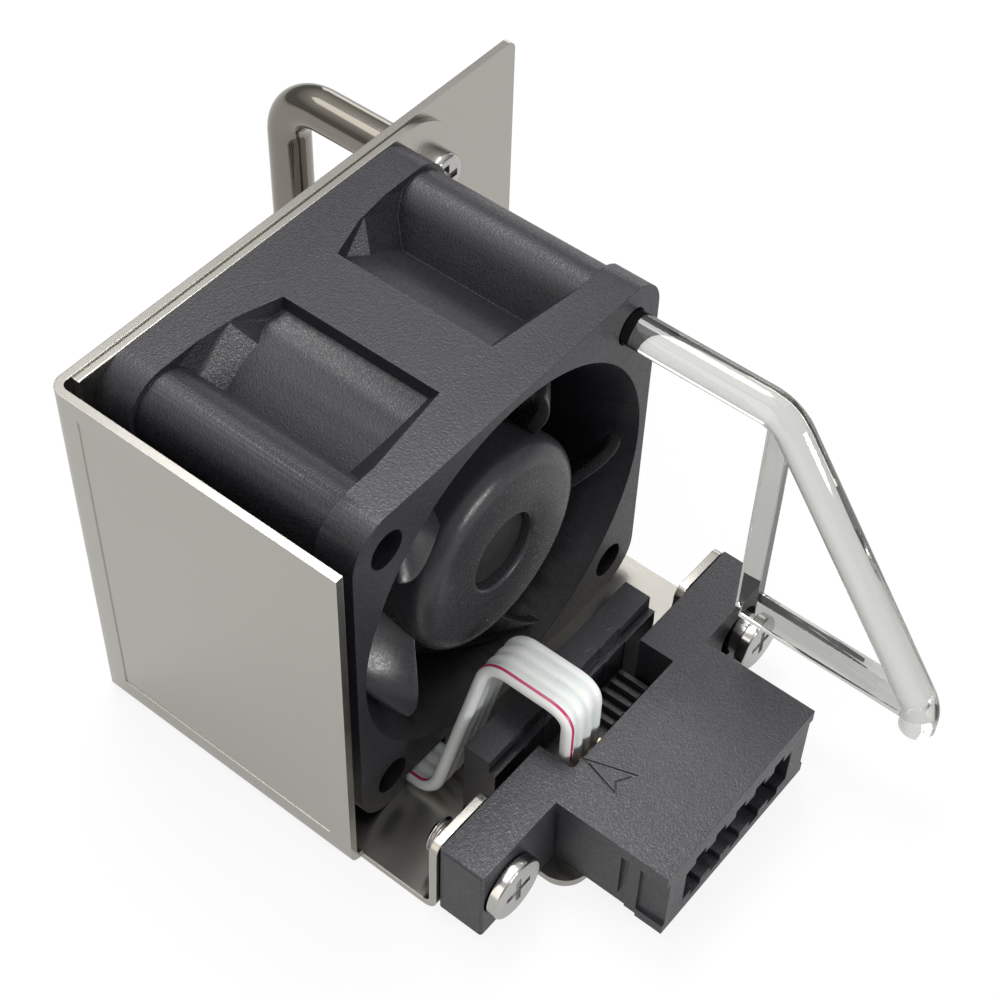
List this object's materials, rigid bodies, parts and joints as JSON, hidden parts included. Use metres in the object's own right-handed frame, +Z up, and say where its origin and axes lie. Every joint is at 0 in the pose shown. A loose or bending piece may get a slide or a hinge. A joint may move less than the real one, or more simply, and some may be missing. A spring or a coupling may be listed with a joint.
{
  "type": "fan module",
  "caption": "Axial fan in a bent sheet bracket with a pull handle, a clear light pipe and a floating blind-mate connector on a short ribbon cable.",
  "frame": {"origin": "on the underside of the base plate, below the middle of the fan's depth and width", "axes": "+Y the way the module slides in, towards the connector; +Z up; +X towards the side wall"},
  "size_m": [0.0593, 0.0845, 0.041],
  "materials": {
    "bracket_steel": "satin",
    "polished_nickel": "polished",
    "screw_steel": "bright",
    "clear_acrylic": "clear",
    "charcoal_plastic": "fine texture",
    "impeller_plastic": "fine texture",
    "rotor_steel": "plain",
    "magnet": "matte",
    "brass": "turned",
    "shaft_steel": "ground",
    "bearing_steel": "polished",
    "lamination": "matte",
    "insulator": "plain",
    "copper_wire": "enamelled",
    "board": "solder resist",
    "chip": "plain",
    "connector_plastic": "fine texture",
    "contact_metal": "plated",
    "ribbon_pvc": "smooth"
  },
  "bodies": {
    "frame": {"bracket": "bracket_steel", "backing_plate": "bracket_steel", "handle": "polished_nickel", "handle_screws": "screw_steel", "fan_screws": "screw_steel", "light_pipe": "clear_acrylic", "fan_frame": "charcoal_plastic", "bearing_outer_rings": "bearing_steel", "bearing_tube": "brass", "stator_core": "lamination", "stator_insulators": "insulator", "stator_coils": "copper_wire", "motor_board": "board", "board_parts": "chip", "shoulder_screws": "screw_steel", "clinch_nuts": "screw_steel", "ribbon_cable": "ribbon_pvc"},
    "rotor": {"impeller": "impeller_plastic", "rotor_cup": "rotor_steel", "rotor_magnet": "magnet", "rotor_bush": "brass", "shaft": "shaft_steel", "retaining_ring": "shaft_steel", "bearing_inner_rings": "bearing_steel", "bearing_balls": "bearing_steel", "preload_washer": "shaft_steel"},
    "connector": {"connector_housing": "connector_plastic", "contacts": "contact_metal", "wire_retainer": "connector_plastic"}
  },
  "joints": [
    {"name": "impeller_spin", "type": "hinge", "parent": "frame", "child": "rotor", "pos_m": [0, 0, 0.0208], "axis": [0, 1, 0], "continuous": true},
    {"name": "connector_float", "type": "slide", "parent": "frame", "child": "connector", "axis": [1, 0, 0], "range_m": [-0.0005, 0.0005]}
  ]
}
